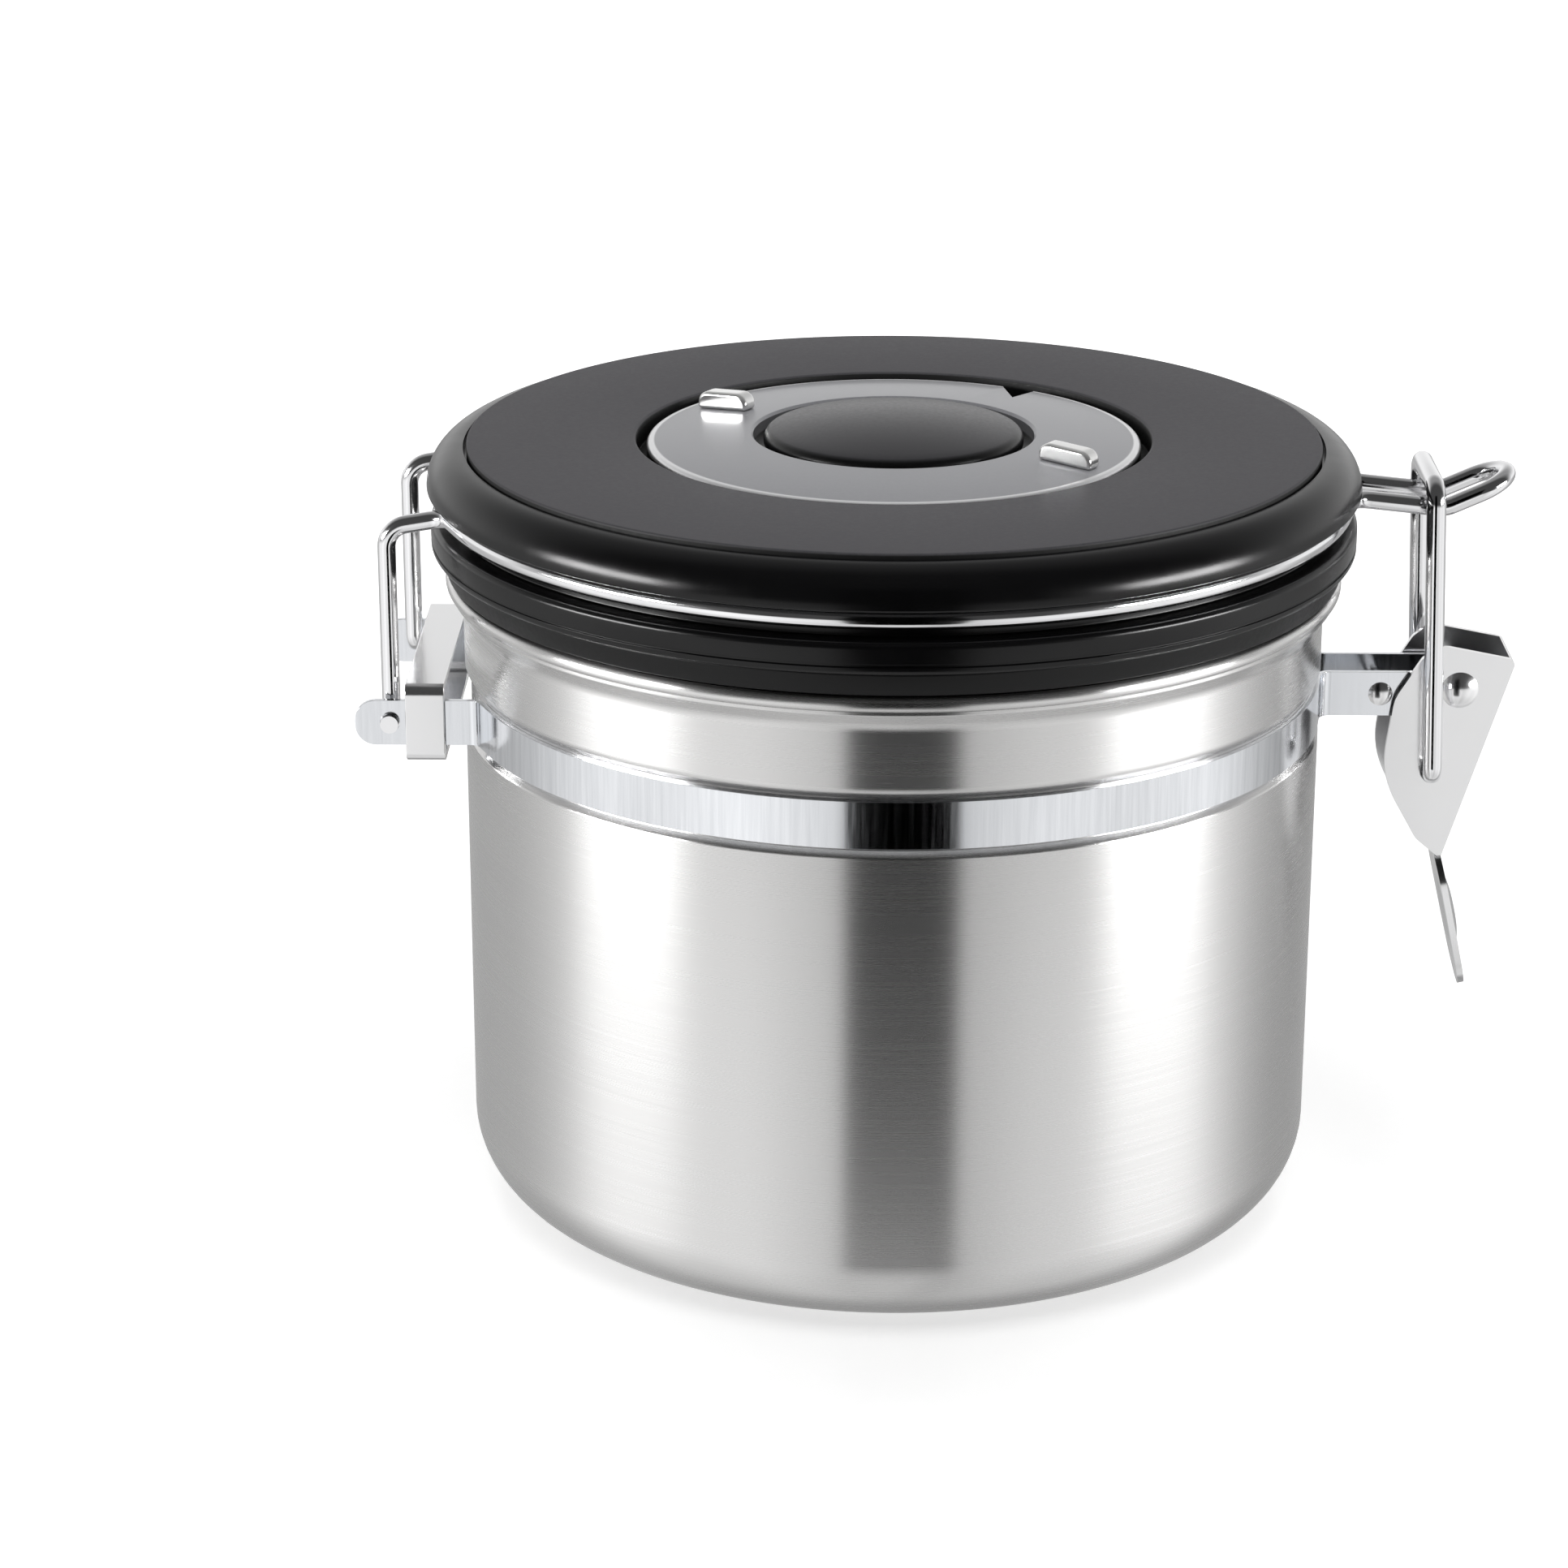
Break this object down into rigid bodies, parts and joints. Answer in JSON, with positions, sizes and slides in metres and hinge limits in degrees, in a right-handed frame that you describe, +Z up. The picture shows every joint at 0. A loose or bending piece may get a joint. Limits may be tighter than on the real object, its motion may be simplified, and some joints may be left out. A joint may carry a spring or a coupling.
{
  "type": "coffee canister",
  "caption": "Round steel coffee canister with a clamped wire-hinged lid, an over-centre latch, a turning date dial and a one-way freshness valve.",
  "frame": {"origin": "middle of the base, on the surface the canister stands on", "axes": "+Z up along the pot's axis, +X from the hinge to the latch, -Y the front"},
  "size_m": [0.1606, 0.1292, 0.112],
  "materials": {
    "brushed_steel": "horizontal brush lines",
    "polished_steel": "polished",
    "satin_black": "satin",
    "matte_charcoal": "matte",
    "black_silicone": "matte",
    "clear_silicone": "matte",
    "dial_grey": "satin grey",
    "dial_bright": "gloss"
  },
  "bodies": {
    "pot": {"canister_body": "brushed_steel", "clamp_band_front": "polished_steel", "clamp_band_rear": "polished_steel", "hinge_clip": "polished_steel", "latch_ear_rivet": "polished_steel"},
    "lid": {"lid_wire": "polished_steel", "lid_base": "satin_black", "seal_retainer": "satin_black", "lid_seal": "black_silicone", "lid_cover": "satin_black", "lid_top_plate": "matte_charcoal", "valve_cap": "matte_charcoal", "valve_housing": "satin_black", "valve_gasket": "black_silicone", "valve_guard": "satin_black"},
    "dial": {"date_dial": "dial_grey", "dial_grips": "dial_bright"},
    "flap": {"valve_disc": "clear_silicone"},
    "lever": {"latch_lever": "polished_steel", "lever_pivot_pin": "polished_steel"},
    "bail": {"latch_bail": "polished_steel"}
  },
  "joints": [
    {"name": "lid_hinge", "type": "hinge", "parent": "pot", "child": "lid", "pos_m": [-0.069, 0, 0.0732], "axis": [0, -1, 0], "range_deg": [0, 180]},
    {"name": "lever_hinge", "type": "hinge", "parent": "pot", "child": "lever", "pos_m": [0.0793, 0, 0.0742], "axis": [0, -1, 0], "range_deg": [0, 115]},
    {"name": "bail_pivot", "type": "hinge", "parent": "lever", "child": "bail", "pos_m": [0.0757, 0, 0.0622], "axis": [0, -1, 0], "range_deg": [-90, 0]},
    {"name": "dial_turn", "type": "hinge", "parent": "lid", "child": "dial", "pos_m": [0, 0, 0.1092], "axis": [0, 0, 1], "continuous": true},
    {"name": "valve_lift", "type": "slide", "parent": "lid", "child": "flap", "axis": [0, 0, 1], "range_m": [0, 0.0008]}
  ],
  "couplings": [
    {"joint": "bail_pivot", "follows": "lever_hinge", "ratio": -0.78}
  ]
}
